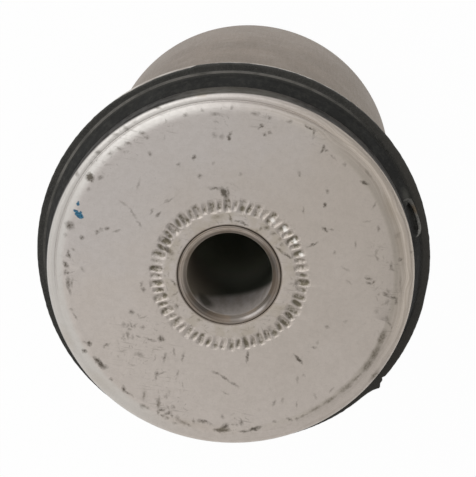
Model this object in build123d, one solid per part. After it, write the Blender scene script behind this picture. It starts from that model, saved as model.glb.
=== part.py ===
from build123d import *
import math
import os

os.makedirs("parts", exist_ok=True)

# Rubber metal bush for an axle carrier or subframe, in millimetres.
# It stands on the rear end of its inner sleeve with the end plate on top.
# The origin is the centre of that rear end, and +Z runs up the bore.

# Inner sleeve: thick turned tube that the clamping bolt passes through.
bore_d = 16.2
sleeve_d = 31.0
sleeve_length = 87.5  # rear end to the seat of the end plate
sleeve_end_chamfer = 0.8
bore_end_chamfer = 1.0
spigot_d = 19.5
spigot_edge_chamfer = 0.2
countersink_d = 18.5
countersink_depth = 1.0

# End plate: pressed dish on the sleeve's spigot, open towards the rubber.
plate_d = 70.0
plate_t = 3.2
plate_depth = 6.4  # face to the free edge of the skirt
skirt_t = 2.6
plate_hole_clearance = 0.1
plate_hole_chamfer = 0.2
skirt_edge_chamfer = 0.25
dish_corner_chamfer = 0.8

# Rim of the end plate: the flat face rounds over into a fine crease with a low lip outside it.
lip_width = 1.25
lip_drop = 0.9
lip_edge_radius = 1.1
crease_width = 0.32
crease_drop = 1.15
shoulder_width = 0.63
shoulder_radius = 1.75

# Coined ring that bites into the mating part: pits and short notches take turns round it.
coin_count = 30
coin_ring_d = 27.6
coin_depth = 0.5
coin_wall_angle = 45.0
pit_floor_length = 1.5
pit_floor_width = 0.6
pit_first_angle = 4.7
notch_floor_length = 0.75
notch_floor_width = 0.1
notch_first_angle = 10.8
notch_skew_angle = -16.0

# Outer sleeve: cold formed tube pressed into the carrier, flanged under the cushion.
outer_d = 66.4
outer_t = 2.4
flange_width = 4.9  # outside of the tube to the rim of the flange
flange_root_radius = 2.0
flange_edge_chamfer = 0.4
mouth_chamfer = 2.6
outer_end_chamfer = 0.7
rear_setback = 2.5  # rear end of the inner sleeve to the edge of the outer sleeve
cushion_gap = 5.9  # free edge of the plate's skirt to the flange

# Rubber body: moulded between the sleeves, with a collar over the flange.
collar_overhang = 0.3  # past the flange's rim
collar_t = 1.2
collar_edge_chamfer = 0.3
cushion_foot_inset = 1.7  # rim of the collar to the foot of the cushion
cushion_neck_inset = 0.1  # outside of the plate's skirt to the top of the cushion
cushion_bulge = 0.35
dish_clearance = 0.1
foot_ridge_width = 0.5
foot_ridge_height = 0.25
rear_inset = 4.5  # edge of the outer sleeve to the rubber's rear face
rear_land = 2.2
rear_hollow_depth = 3.2
rear_hollow_draft = 2.4

# Moulding marks on the rubber: a shallow pocket in the cushion and a nub on the collar.
pocket_angle = 205.3
pocket_span_angle = 14.4
pocket_width = 2.2
pocket_floor_t = 0.5  # left between the pocket and the flange
nub_angle = 146.8
nub_radius = 1.3

plate_r = plate_d / 2
face_z = sleeve_length + plate_t
skirt_edge_z = face_z - plate_depth
flange_z = skirt_edge_z - cushion_gap
collar_z = flange_z + collar_t
outer_r = outer_d / 2
outer_bore_r = outer_r - outer_t
flange_r = outer_r + flange_width
collar_r = flange_r + collar_overhang
foot_r = collar_r - cushion_foot_inset
neck_r = plate_r - cushion_neck_inset
dish_r = plate_r - skirt_t


def revolved(*corners):
    """Solid of revolution about Z, from closed (radius, height, corner radius) triples."""
    points = [(radius, height) for radius, height, _ in corners]
    with BuildSketch(Plane.XZ) as outline:
        with BuildLine():
            FilletPolyline(points, radius=[corner for _, _, corner in corners], close=True)
        make_face()
    return revolve(outline.sketch, axis=Axis.Z)


def inner_sleeve():
    """Turned tube, shouldered at the plate's seat, with a spigot flush with the plate's face."""
    bore_r = bore_d / 2
    sleeve_r = sleeve_d / 2
    spigot_r = spigot_d / 2
    return revolved(
        (bore_r, bore_end_chamfer, 0),
        (bore_r + bore_end_chamfer, 0, 0),
        (sleeve_r - sleeve_end_chamfer, 0, 0),
        (sleeve_r, sleeve_end_chamfer, 0),
        (sleeve_r, sleeve_length, 0),
        (spigot_r, sleeve_length, 0),
        (spigot_r, face_z - spigot_edge_chamfer, 0),
        (spigot_r - spigot_edge_chamfer, face_z, 0),
        (countersink_d / 2, face_z, 0),
        (bore_r, face_z - countersink_depth, 0),
    )


def coin_cuts(floor_length, floor_width, first_angle, skew_angle):
    """One coining cut with sloping walls, repeated round the plate's face, long side along the radius."""
    floor = Rectangle(floor_length, floor_width)
    cut = extrude(floor, amount=coin_depth, taper=-coin_wall_angle)
    spots = PolarLocations(coin_ring_d / 2, coin_count, start_angle=first_angle)
    floor_z = face_z - coin_depth
    return [Pos(0, 0, floor_z) * spot * Rot(0, 0, skew_angle) * cut for spot in spots]


def end_plate():
    """Pressed dish with a rolled-over rim, a short skirt and the coined ring."""
    hole_r = spigot_d / 2 + plate_hole_clearance
    lip_z = face_z - lip_drop
    lip_r = plate_r - lip_width
    crease_r = lip_r - crease_width
    blank = revolved(
        (hole_r, sleeve_length, 0),
        (dish_r - dish_corner_chamfer, sleeve_length, 0),
        (dish_r, sleeve_length - dish_corner_chamfer, 0),
        (dish_r, skirt_edge_z + skirt_edge_chamfer, 0),
        (dish_r + skirt_edge_chamfer, skirt_edge_z, 0),
        (plate_r - skirt_edge_chamfer, skirt_edge_z, 0),
        (plate_r, skirt_edge_z + skirt_edge_chamfer, 0),
        (plate_r, lip_z, lip_edge_radius),
        (lip_r, lip_z, 0),
        (crease_r, face_z - crease_drop, 0),
        (crease_r - shoulder_width, face_z, shoulder_radius),
        (hole_r + plate_hole_chamfer, face_z, 0),
        (hole_r, face_z - plate_hole_chamfer, 0),
    )
    pits = coin_cuts(pit_floor_length, pit_floor_width, pit_first_angle, 0)
    notches = coin_cuts(notch_floor_length, notch_floor_width, notch_first_angle, notch_skew_angle)
    return blank - (pits + notches)


def outer_sleeve():
    """Tube with a turned-out flange and a chamfered mouth at the cushion end."""
    under_z = flange_z - outer_t
    return revolved(
        (outer_bore_r, rear_setback, 0),
        (outer_r - outer_end_chamfer, rear_setback, 0),
        (outer_r, rear_setback + outer_end_chamfer, 0),
        (outer_r, under_z, flange_root_radius),
        (flange_r - flange_edge_chamfer, under_z, 0),
        (flange_r, under_z + flange_edge_chamfer, 0),
        (flange_r, flange_z - flange_edge_chamfer, 0),
        (flange_r - flange_edge_chamfer, flange_z, 0),
        (outer_bore_r + mouth_chamfer, flange_z, 0),
        (outer_bore_r, flange_z - mouth_chamfer, 0),
    )


def cushion_swell():
    """Slight barrel form on the cushion's side, between its foot and its neck."""
    with BuildSketch(Plane.XZ) as swell:
        with BuildLine():
            side = SagittaArc((neck_r, skirt_edge_z), (foot_r, collar_z), cushion_bulge)
            Line(side @ 1, side @ 0)
        make_face()
    return revolve(swell.sketch, axis=Axis.Z)


def pocket():
    """Shallow slot moulded round part of the cushion's foot."""
    ring_r = foot_r - pocket_width / 2
    end_angle = math.degrees(pocket_width / 2 / ring_r)
    start = pocket_angle - pocket_span_angle / 2 + end_angle
    path = CenterArc((0, 0), ring_r, start, pocket_span_angle - 2 * end_angle)
    floor_z = flange_z + pocket_floor_t
    return Pos(0, 0, floor_z) * extrude(SlotArc(path, pocket_width), amount=skirt_edge_z - floor_z)


def rubber_body():
    """Moulded rubber that fills the sleeves, carries the plate and laps over the flange."""
    sleeve_r = sleeve_d / 2
    plug_r = dish_r - dish_clearance
    rear_z = rear_setback + rear_inset
    roof_z = rear_z + rear_hollow_depth
    hollow_in_r = sleeve_r + rear_land
    hollow_out_r = outer_bore_r - rear_land
    body = revolved(
        (sleeve_r, rear_z, 0),
        (sleeve_r, sleeve_length, 0),
        (plug_r - dish_corner_chamfer, sleeve_length, 0),
        (plug_r, sleeve_length - dish_corner_chamfer, 0),
        (plug_r, skirt_edge_z, 0),
        (neck_r, skirt_edge_z, 0),
        (foot_r, collar_z, 0),
        (foot_r + foot_ridge_width / 2, collar_z + foot_ridge_height, 0),
        (foot_r + foot_ridge_width, collar_z, 0),
        (collar_r - collar_edge_chamfer, collar_z, 0),
        (collar_r, collar_z - collar_edge_chamfer, 0),
        (collar_r, flange_z, 0),
        (outer_bore_r + mouth_chamfer, flange_z, 0),
        (outer_bore_r, flange_z - mouth_chamfer, 0),
        (outer_bore_r, rear_z, 0),
        (hollow_out_r, rear_z, 0),
        (hollow_out_r - rear_hollow_draft, roof_z, 0),
        (hollow_in_r + rear_hollow_draft, roof_z, 0),
        (hollow_in_r, rear_z, 0),
    )
    nub = Rot(0, 0, nub_angle) * Pos(collar_r, 0, flange_z + collar_t / 2)
    nub = nub * Cylinder(nub_radius, collar_t)
    return body + cushion_swell() + nub - pocket()


export_step(inner_sleeve(), "parts/inner_sleeve.step")
export_step(end_plate(), "parts/end_plate.step")
export_step(outer_sleeve(), "parts/outer_sleeve.step")
export_step(rubber_body(), "parts/rubber_body.step")
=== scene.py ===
import math

import bpy
import numpy as np
from mathutils import Matrix, Vector


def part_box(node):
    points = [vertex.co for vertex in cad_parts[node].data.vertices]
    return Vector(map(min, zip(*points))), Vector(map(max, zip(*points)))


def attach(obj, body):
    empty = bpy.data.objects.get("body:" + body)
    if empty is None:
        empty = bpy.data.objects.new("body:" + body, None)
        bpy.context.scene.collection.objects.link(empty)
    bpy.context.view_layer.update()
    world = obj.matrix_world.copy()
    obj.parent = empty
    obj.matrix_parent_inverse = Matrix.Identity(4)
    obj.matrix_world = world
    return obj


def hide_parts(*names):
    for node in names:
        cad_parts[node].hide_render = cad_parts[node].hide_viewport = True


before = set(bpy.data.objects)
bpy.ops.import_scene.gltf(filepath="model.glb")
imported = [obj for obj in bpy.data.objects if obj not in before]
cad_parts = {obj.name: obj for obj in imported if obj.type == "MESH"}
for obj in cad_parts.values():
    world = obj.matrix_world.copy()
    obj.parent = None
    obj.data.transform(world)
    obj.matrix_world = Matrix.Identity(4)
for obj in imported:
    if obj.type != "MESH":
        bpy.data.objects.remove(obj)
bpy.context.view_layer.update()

MM = 0.001
SLACK = 0.01 * MM  # for picking vertices by their place

# -------------------------------- driving sizes, in metres and degrees
plate_low, plate_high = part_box("end_plate")
_, sleeve_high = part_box("inner_sleeve")
outer_low, outer_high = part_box("outer_sleeve")
rubber_low, rubber_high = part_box("rubber_body")

FACE_Z = plate_high[2]
SKIRT_Z = plate_low[2]
SEAT_Z = rubber_high[2]
PLATE_R = plate_high[0]
SLEEVE_R = sleeve_high[0]
FLANGE_R = outer_high[0]
FLANGE_Z = outer_high[2]
OUTER_REAR_Z = outer_low[2]
COLLAR_R = rubber_high[0]
RUBBER_REAR_Z = rubber_low[2]

# inner sleeve
BORE_R = 8.1 * MM
SPIGOT_R = 9.75 * MM
COUNTERSINK_R = 9.25 * MM
COUNTERSINK_DEPTH = 1.0 * MM
SLEEVE_END_CHAMFER = 0.8 * MM
BORE_END_CHAMFER = 1.0 * MM
SLEEVE_END_EDGE = 0.1 * MM
SPIGOT_EDGE = 0.2 * MM
COUNTERSINK_EDGE = 0.15 * MM
BORE_EDGE = 0.2 * MM
BORE_RINGS = (6 * MM, 30 * MM)  # extra rows of mesh, this far down the bore
HIGHLIGHT_SIDE = 132  # where a highlight is painted on the countersink
# painted pool of light at the bore's mouth, where the lamp shines in: its middle, its depth in millimetres,
# how fast it narrows
LIT_PATCH_SIDE = 111
LIT_PATCH_DEPTH = 12.6
LIT_PATCH_NARROWING = 8.5
RUST_SPOT = (3.6, 7.25, FACE_Z / MM - 4.0)  # in millimetres

# end plate and its coined ring
PLATE_HOLE_R = 9.78 * MM
PLATE_HOLE_EDGE = 0.35 * MM
SKIRT_T = 2.6 * MM
SKIRT_EDGE = 0.25 * MM
DISH_R = PLATE_R - SKIRT_T
DISH_CORNER = 0.8 * MM
LIP_Z = FACE_Z - 0.9 * MM
LIP_R = PLATE_R - 1.42 * MM
LIP_EDGE = 1.2 * MM
LIP_FOOT_EDGE = 0.12 * MM
CREASE_R = PLATE_R - 1.65 * MM
CREASE_Z = FACE_Z - 1.08 * MM
CREASE_EDGE = 0.15 * MM
SHOULDER_R = 30.9 * MM
SHOULDER_END_R = CREASE_R - 0.22 * MM
SHOULDER_FALL = 0.6 * MM
SHOULDER_POWER = 2.2
SHOULDER_ROWS = 13
CREASE_SIDE = 310  # the middle of the crease
CREASE_FADE = (0.25, 0.62)  # cosines of the angle from there, where it is gone and where it is full
CREASE_SWAY = (0.25 * MM, -0.15 * MM)
FACE_RINGS = (28 * MM, 22 * MM)  # extra rows of mesh on the flat face
HUB_RING = 11 * MM
COIN_COUNT = 30
COIN_RING_R = 13.8 * MM
COIN_BAND = (15.5 * MM, 12.1 * MM)  # finer mesh
COIN_ROWS = 36
COIN_REACH = 16 * MM
COIN_DEPTH = 0.5 * MM
COIN_SEED = 11
COIN_FULL_WIDTH = 1.6 * MM  # a narrower cut is shallower
COIN_WALL_POWER = 1.4
COIN_END_POWER = 3
PIT = {"length": 2.9 * MM, "width": 1.7 * MM, "first": 4.7, "skew": 0.0}
NOTCH = {"length": 2.3 * MM, "width": 1.25 * MM, "first": 10.8, "skew": -16.0}
# how much one cut differs from the next: degrees, distances, and shares of the size
COIN_VARIES = {
    "skew": 2.5, "along": 0.05 * MM, "across": 0.04 * MM,
    "length": (0.95, 1.1), "width": (0.9, 1.12), "depth": (0.6, 1.05),
}

# outer sleeve
OUTER_R = 33.2 * MM
OUTER_T = 2.4 * MM
OUTER_BORE_R = OUTER_R - OUTER_T
OUTER_UNDER_Z = FLANGE_Z - OUTER_T
OUTER_END_EDGES = (0.2 * MM, 0.7 * MM)
OUTER_RINGS = (20 * MM, 50 * MM)  # extra rows of mesh, this far up the tube
FLANGE_ROOT = 2.0 * MM
FLANGE_EDGE = 0.5 * MM
MOUTH = 2.6 * MM

# rubber
COLLAR_Z = FLANGE_Z + 1.2 * MM
FOOT_R = COLLAR_R - 1.7 * MM
NECK_R = PLATE_R - 0.1 * MM
PLUG_R = DISH_R - 0.1 * MM
CUSHION_SWELL = 0.35 * MM
CUSHION_ROWS = 12
NECK_EDGE = 0.15 * MM
RIDGE_WIDTH = 0.5 * MM
RIDGE_HEIGHT = 0.25 * MM
RIDGE_EDGE = 0.08 * MM
RIDGE_WEAR = 0.85
RIDGE_FADE = (-12 * MM, -26 * MM)  # from full height to worn, along X
TRIM_SEED = 3
TRIM_WAVES = (40, 200)
TRIM_WOBBLE = 0.02 * MM
COLLAR_EDGES = (0.35 * MM, 0.2 * MM)
POCKET_ANGLE = 204.4
POCKET_SPAN = 12.9
POCKET_DEPTH = 0.8 * MM
POCKET_HEIGHT = 2.2 * MM
POCKET_SIDES = (-2.4, -0.8)  # from its edge, where it is full and where it is gone
POCKET_LIP_SIZE = 0.3 * MM
POCKET_LIP_ROOT = 0.2 * MM
POCKET_LIP_STEPS = 49
POCKET_LIP_TIP = 0.3  # share of its size at the tips
POCKET_LIP_TAPER = 9  # it gains a full size in this many steps
DUST_SPOT = (-30.7, -18.9, COLLAR_Z / MM + 2.6)  # in millimetres
REAR_LAND = 2.2 * MM
REAR_HOLLOW = 3.2 * MM
REAR_DRAFT = 2.4 * MM
REAR_EDGES = (0.5 * MM, 1.0 * MM)

# -------------------------------- camera of the photograph
PHOTO_WIDTH = 476
PHOTO_HEIGHT = 477
LENS = 125.5
SENSOR = 36
FOCAL = PHOTO_WIDTH * LENS / SENSOR
CAMERA_SPOT = Vector((-0.00045, -0.09774, 0.38843))
CAMERA_RIGHT = Vector((-0.98523, -0.16388, -0.04967))
CAMERA_UP = Vector((0.17124, -0.94288, -0.28575))
CAMERA_BACK = Vector((0, -0.29003, 0.95702))


def seen_at(px, py, height=FACE_Z):
    """Where a pixel of the photograph lands on a level plane, in millimetres."""
    right = px + 0.5 - PHOTO_WIDTH / 2
    down = py + 0.5 - PHOTO_HEIGHT / 2
    ray = CAMERA_RIGHT * right - CAMERA_UP * down - CAMERA_BACK * FOCAL
    spot = CAMERA_SPOT + ray * ((height - CAMERA_SPOT.z) / ray.z)
    return Vector((spot.x / MM, spot.y / MM))


# Marks on the plate: a stroke is x, y, x, y, width, strength and a dot is x, y, width, strength, with
# places and widths in pixels of the photograph. Dark scuffs, dots and scratches on the face.
SCUFFS = [
    # foot of the face
    (214, 430.5, 228, 430.5, 3.2, 1.0), (222, 428.5, 226, 424.5, 3.6, 0.9),
    (248, 431, 259.5, 427, 3.0, 1.0), (238, 432, 249, 432, 2.0, 0.6), (198, 420, 207, 421.5, 2.6, 0.8),
    (207, 421.5, 213, 425, 1.6, 0.3), (193, 418, 193, 423, 1.6, 0.4), (188, 425.5, 2.6, 0.5),
    (179, 421, 185, 424, 3.0, 0.4), (240.5, 420.5, 241, 424, 2.6, 0.6), (235, 423, 237, 425, 2.0, 0.3),
    (221.5, 415, 222, 417.5, 2.0, 0.4), (176.5, 417, 177, 420, 2.6, 0.4), (172, 423, 176, 424, 2.2, 0.35),
    (274, 421, 2.4, 0.5), (287, 418, 291, 421, 2.0, 0.5), (296, 419, 2.2, 0.5),
    # lower left
    (94.5, 357.5, 99, 363, 3.2, 1.0), (98, 361, 102, 367, 3.4, 1.0), (102, 366.5, 106, 366.5, 2.6, 0.7),
    (88.7, 343, 3.2, 0.9), (83.5, 351.5, 3.0, 0.8), (82, 341.5, 86, 342, 2.0, 0.35),
    (103, 346.5, 109, 343, 1.8, 0.5), (110.5, 379.5, 2.4, 0.6), (123, 386.5, 123.5, 391.5, 2.6, 0.8),
    (124, 391, 129.5, 394.5, 2.0, 0.6), (129, 394, 133, 397, 1.6, 0.3), (160.5, 338.5, 4.0, 0.9),
    (143, 336.5, 156, 341, 1.6, 0.5), (136.5, 353.5, 141.5, 354.5, 3.0, 0.45),
    (165, 352.5, 163, 362, 1.8, 0.55), (172.5, 347.5, 174, 355, 1.5, 0.45), (157, 373, 2.8, 0.7),
    (156.5, 373, 154.5, 379.5, 1.6, 0.5), (158, 372.5, 166, 371.5, 1.5, 0.4),
    (178, 370, 176.5, 375, 1.6, 0.35), (144, 391, 143, 399, 1.8, 0.35),
    (158.5, 397, 157.5, 408, 2.2, 0.5), (158.5, 410, 164, 409, 2.2, 0.75),
    (157.5, 411, 157.5, 414.5, 1.8, 0.5), (142, 406.5, 4.0, 0.4), (146.5, 408.5, 2.6, 0.35),
    (162, 415.5, 2.6, 0.6), (165, 413.5, 170, 411.5, 2.5, 0.65), (171, 413, 171.5, 416.5, 1.8, 0.5),
    (166, 418.5, 3.0, 0.5), (167, 405.5, 168, 408, 1.6, 0.4), (172.5, 406.5, 2.5, 0.45),
    (165.5, 396, 3.0, 0.35), (183.5, 352, 181, 361.5, 1.6, 0.5), (131, 311.5, 3.4, 0.6),
    (129.5, 321.5, 132.5, 327, 1.6, 0.5), (132.5, 327, 136, 323, 1.5, 0.4), (123, 324, 3.0, 0.4),
    (127, 325, 2.5, 0.35), (129.5, 329, 2.0, 0.5), (127, 331, 127.5, 337, 2.0, 0.5),
    (123, 333, 123, 338, 1.6, 0.35), (141, 327, 143, 327, 2.5, 0.45), (136, 335.5, 140, 336.5, 1.6, 0.5),
    (137, 313, 139, 317, 1.5, 0.3), (138, 318, 147, 315, 1.4, 0.35), (132, 334, 132, 339, 1.4, 0.35),
    (118, 351, 126, 349.5, 1.4, 0.3),
    # left
    (63.5, 262, 66.5, 266, 2.6, 0.8), (64.5, 270, 64.5, 274, 2.0, 0.55), (65, 272.5, 68.5, 272, 2.0, 0.6),
    (67.3, 277, 68, 289, 2.8, 0.65), (68.5, 288, 70.5, 294, 1.8, 0.5), (71.8, 278, 71, 286, 2.0, 0.45),
    (70.5, 309, 2.5, 0.4), (72.5, 312.5, 76.5, 319, 1.6, 0.4), (67.5, 250, 68, 254, 2.0, 0.6),
    (68.3, 254.7, 3.0, 0.8), (71.5, 248, 74.5, 250.5, 1.6, 0.35), (81.5, 237, 3.0, 0.7),
    (96.8, 231.5, 3.0, 0.65), (100.5, 229, 2.5, 0.45), (106.5, 228, 3.0, 0.6),
    (112, 231.5, 120, 229.5, 1.4, 0.4), (65, 235, 3.0, 0.35), (69, 225, 5.5, 0.8),
    (88.8, 176.6, 90.0, 177.8, 4.6, 1.4), (100, 177, 3.2, 0.55), (88.5, 188.5, 3.0, 0.35),
    (118, 200, 128, 206, 1.6, 0.3), (128, 206, 136, 219, 1.5, 0.4), (136, 219, 141, 227, 1.5, 0.35),
    (140, 177, 136, 191, 1.4, 0.3), (141, 282, 141, 285, 2.0, 0.5), (141.5, 288, 144, 290, 2.0, 0.6),
    (80, 267, 84, 271, 1.6, 0.3),
    # upper left, inside the shoulder
    (139, 133, 144, 133, 2.4, 0.5), (145, 137, 148, 137, 2.2, 0.5), (125, 142, 130, 144, 2.4, 0.6),
    (116, 148, 121, 148.5, 2.2, 0.45), (108, 154, 111, 152, 2.4, 0.45),
    (148.5, 152, 150, 154.5, 2.2, 0.5), (178, 164, 2.6, 0.45), (184, 115, 186, 115, 2.4, 0.45),
    # top
    (211, 113.5, 219, 113.5, 2.2, 0.5), (202, 110, 2.2, 0.35), (231, 108, 2.2, 0.5),
    (251, 113, 258, 113.5, 2.4, 0.5), (269, 117, 2.4, 0.5), (261, 125.5, 2.6, 0.9),
    (261, 126, 258, 128.5, 1.4, 0.6), (264, 134, 2.6, 0.6), (269, 132, 270.5, 132.5, 2.0, 0.6),
    (214, 135, 4.0, 0.35), (228, 136, 228.5, 138.5, 2.6, 0.95), (228, 136, 231, 131, 1.6, 0.6),
    (221, 136, 3.6, 0.35), (193.5, 155.5, 193.5, 158, 2.4, 0.8), (213, 163, 2.4, 0.35),
    (199, 175.5, 3.0, 0.5), (240, 174, 2.2, 0.35), (287.5, 121, 291, 121, 2.2, 0.5),
    (304, 125, 308, 127.5, 1.6, 0.8), (308, 127, 313, 129.5, 1.6, 0.8), (314, 130, 312.5, 135, 1.6, 0.7),
    (323.5, 145, 323, 149, 1.8, 0.9), (323, 149, 320, 152, 1.6, 0.8), (326, 150, 2.0, 0.6),
    (329, 153, 336, 160, 1.3, 0.35), (344, 164, 2.4, 0.35), (298, 172, 299, 176, 1.8, 0.5),
    (360, 181, 368, 184, 2.0, 0.9), (327, 191, 2.4, 0.5), (365, 170, 371, 178, 2.0, 0.3),
    # right
    (376, 202, 372, 208, 1.6, 0.39), (363, 221, 370, 221, 1.6, 0.27), (378, 226, 378, 231, 2.0, 0.62),
    (355, 241, 355.5, 247, 1.6, 0.39), (329, 229, 333, 229, 1.6, 0.39), (377, 249, 375, 254, 1.6, 0.39),
    (375, 254, 378, 260, 1.6, 0.39), (334, 252, 2.2, 0.39), (400, 260, 2.6, 0.55), (411, 253, 2.2, 0.39),
    (397, 236, 4.0, 0.27), (391, 262, 391, 269, 1.8, 0.55), (389.5, 269, 393, 269, 1.8, 0.47),
    (340, 266, 350, 271, 1.5, 0.27), (365, 277, 371, 278.5, 2.0, 0.70), (366, 282, 371, 283, 1.8, 0.62),
    (371, 283, 375, 280.5, 1.6, 0.55), (346, 280, 351, 284, 1.4, 0.27), (383, 293, 388, 296, 2.0, 0.62),
    (388, 296, 397, 298.5, 1.8, 0.62), (388, 291, 2.4, 0.47), (395.5, 299, 395.5, 304, 2.0, 0.62),
    (390, 300, 381, 305, 1.5, 0.31), (400, 275, 400, 296, 1.6, 0.27), (387, 316, 386.5, 321, 1.8, 0.43),
    (387, 321, 391, 327, 1.8, 0.43), (345, 321, 2.4, 0.27), (376, 311, 2.6, 0.27),
    # lower right
    (294, 354, 302, 363, 2.0, 1.0), (311, 347, 316, 347, 1.6, 0.35), (317, 342, 2.2, 0.25),
    (297, 376, 297, 382, 1.8, 0.35), (303, 375, 2.2, 0.3), (275, 400, 272, 405, 2.0, 0.45),
    (282, 398, 282, 401, 2.0, 0.35), (296, 402, 296, 406, 1.6, 0.45), (314, 394, 316, 398, 1.8, 0.3),
    (333, 387, 329, 392, 1.6, 0.4), (326.6, 326.4, 2.4, 0.5),
    # scratches below the hub
    (211, 371, 220, 374.5, 1.6, 0.5), (219, 374, 230, 381.5, 1.7, 0.6), (229, 381, 238, 387, 1.7, 0.55),
    (221, 391, 228, 394, 1.6, 0.35), (247.5, 350, 246, 363, 1.7, 0.8), (198, 319, 2.4, 0.5),
    # round the coined ring and on the boss
    (222, 189, 225, 195.5, 3.8, 1.3), (227, 188.5, 228, 196, 1.8, 0.7), (208, 187.5, 221, 188, 1.9, 0.6),
    (228.7, 213.6, 231, 221.4, 1.8, 0.8), (212, 217, 222, 216, 3.0, 0.5), (162, 203, 174, 197, 1.4, 0.4),
    (156, 216, 160, 212, 1.8, 0.8), (150, 213, 152, 209, 1.6, 0.5), (165, 248, 171.5, 253, 3.2, 1.2),
    (234, 220, 240, 221, 1.4, 0.7), (240, 221.5, 246.6, 225.4, 1.6, 0.8), (260, 228.6, 2.4, 0.8),
    (265.5, 227.5, 267, 227.5, 3.2, 0.9), (272, 233, 273, 233, 2.8, 0.7), (279, 238.6, 2.4, 0.7),
    (281, 244, 2.4, 0.6), (275, 246, 283, 253, 1.8, 0.9), (283, 253, 291, 257, 2.0, 0.9),
    (306.6, 247, 318.7, 241.4, 1.4, 0.7), (324.4, 203, 324.4, 206, 2.2, 0.9),
    (322.5, 227.5, 327, 231, 2.0, 0.8), (303, 207, 303, 212, 1.4, 0.5), (256.6, 230.7, 2.0, 0.6),
    (170, 279.3, 176.6, 285.7, 1.6, 0.7), (171, 296, 178.5, 291, 1.6, 0.5),
    (175.5, 305, 176.5, 307, 2.6, 0.6), (161, 339, 163, 339, 2.2, 0.6),
]

# Brown-grey smears, most of them along the foot of the rim.
SMEARS = [
    (383.5, 331, 379, 344, 4.6, 1.0), (379, 345, 370, 362, 4.4, 1.0), (371, 360, 363, 371, 4.6, 1.0),
    (362, 372, 350, 384, 2.4, 0.8), (351, 383, 343, 390, 3.6, 0.8), (340, 392, 346, 387, 4.6, 0.6),
    (337, 395, 321, 406, 3.0, 0.75), (322, 405, 308, 413, 2.6, 0.7), (310, 412, 296, 420, 2.0, 0.55),
    (377, 373, 371, 381, 4.0, 0.8), (158.5, 397, 157.5, 408, 3.4, 0.55), (144, 389, 143, 400, 3.6, 0.4),
    (178, 420, 190, 426, 4.6, 0.4), (140, 405, 149, 409, 4.0, 0.35), (216, 430, 228, 430, 4.0, 0.9),
]

# Specks of blue marking paint.
BLUE_PAINT = [
    (77.5, 202.5, 77.7, 204.5, 2.6, 1.0), (73.8, 210, 76.5, 211.5, 2.6, 1.0),
    (76.8, 213.5, 81, 216, 4.4, 1.4), (79.5, 211, 81, 212, 2.2, 0.8),
]

# Faint brown stains on the rim.
STAINS = [
    (384, 196, 396, 225, 6.0, 0.6), (396, 225, 402, 262, 5.0, 0.5), (60, 330, 70, 350, 8.0, 0.4),
    (85, 372, 112, 392, 9.0, 0.4), (150, 415, 240, 434, 7.0, 0.3), (192, 95.5, 207, 95, 3.4, 1.3),
]

# Painted highlights: bright glints painted on the coined ring.
PAINTED_GLINTS = [
    (271, 219, 273.5, 222, 3.4, 1.0), (283.5, 227.5, 286, 230.5, 3.4, 1.0),
    (293.5, 240, 295.5, 243, 3.2, 1.0), (299.5, 254, 303, 255, 2.8, 0.9), (259, 213, 261, 215, 2.4, 0.6),
]

# Dark nicks on the lip of the rim.
LIP_NICKS = [
    (153, 106, 160, 108, 3.0, 0.7), (125, 127.5, 127, 129, 3.6, 0.7), (113, 135, 117, 134, 3.0, 0.6),
    (96, 152.5, 99, 151, 3.2, 0.8), (76, 172.5, 76.5, 175, 3.2, 0.7), (90, 163, 92, 162, 2.4, 0.4),
    (132, 122, 134, 121, 2.0, 0.3),
]

# Patches with more hairlines and specks: middle pixel, radius in pixels.
SCRATCHED_PATCHES = [
    ((140, 345), 42), ((168, 395), 32), ((300, 260), 14), ((125, 142), 24), ((103, 160), 18),
    ((165, 126), 16), ((218, 115), 16), ((262, 124), 18), ((228, 191), 12), ((392, 262), 14),
    ((386, 298), 18), ((372, 282), 12), ((376, 250), 12), ((69, 270), 16), ((315, 135), 14),
    ((240, 424), 20), ((385, 325), 14),
]

# Lip round the pocket: x and y in photo pixels, height above the collar in millimetres.
POCKET_LIP = [
    (402.6, 200.7, 4.4), (404.6, 200.2, 3.95), (406.6, 200.0, 3.3), (409.4, 201.4, 2.5),
    (411.0, 203.3, 2.0), (412.3, 205.7, 1.5), (413.8, 208.8, 1.0), (415.1, 212.1, 0.7),
    (416.9, 217.9, 0.55), (418.7, 224.3, 0.55), (419.3, 228.6, 0.7), (418.9, 231.0, 1.0),
    (418.4, 232.9, 1.4), (417.3, 234.9, 2.1), (415.9, 236.4, 2.9),
]

# Outline of the collar as moulded and trimmed: angle in degrees, millimetres added to its radius.
COLLAR_TRIM = [
    (0, -0.02), (20, -0.06), (24, -0.04), (28, 0.08), (44, 0.34), (56, 0.36), (66, 0.3), (76, 0.0),
    (108, 0.0), (112, 0.15), (118, 0.42), (132, 0.46), (141, 0.36), (143.4, 0.4), (145.2, 0.62),
    (147.0, 1.25), (147.7, 1.15), (148.2, 0.7), (149.4, 0.62), (150.0, 0.1), (151.0, 0.45), (160, 0.33),
    (176, 0.14), (200, 0.02), (280, 0.02), (289.6, 0.06), (291.4, -0.14), (293, -0.2), (308, -0.32),
    (318, -0.1), (340, -0.03), (360, -0.02),
]


# -------------------------------- mesh helpers
def rounded(corners):
    """Closed outline from (radius, height, corner radius, steps), with arcs at the corners."""
    points = []
    count = len(corners)
    for i, (r, z, radius, steps) in enumerate(corners):
        here = Vector((r, z))
        if radius <= 0:
            points.append((r, z))
            continue
        before = Vector(corners[i - 1][:2])
        after = Vector(corners[(i + 1) % count][:2])
        way_in = (before - here).normalized()
        way_out = (after - here).normalized()
        half = way_in.angle(way_out) / 2
        reach = radius / math.tan(half)
        centre = here + (way_in + way_out).normalized() * radius / math.sin(half)
        start = here + way_in * reach - centre
        end = here + way_out * reach - centre
        turn = start.angle_signed(end)
        for k in range(steps + 1):
            arm = start.copy()
            arm.rotate(Matrix.Rotation(-turn * k / steps, 2))
            points.append(tuple(centre + arm))
    return points


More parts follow.
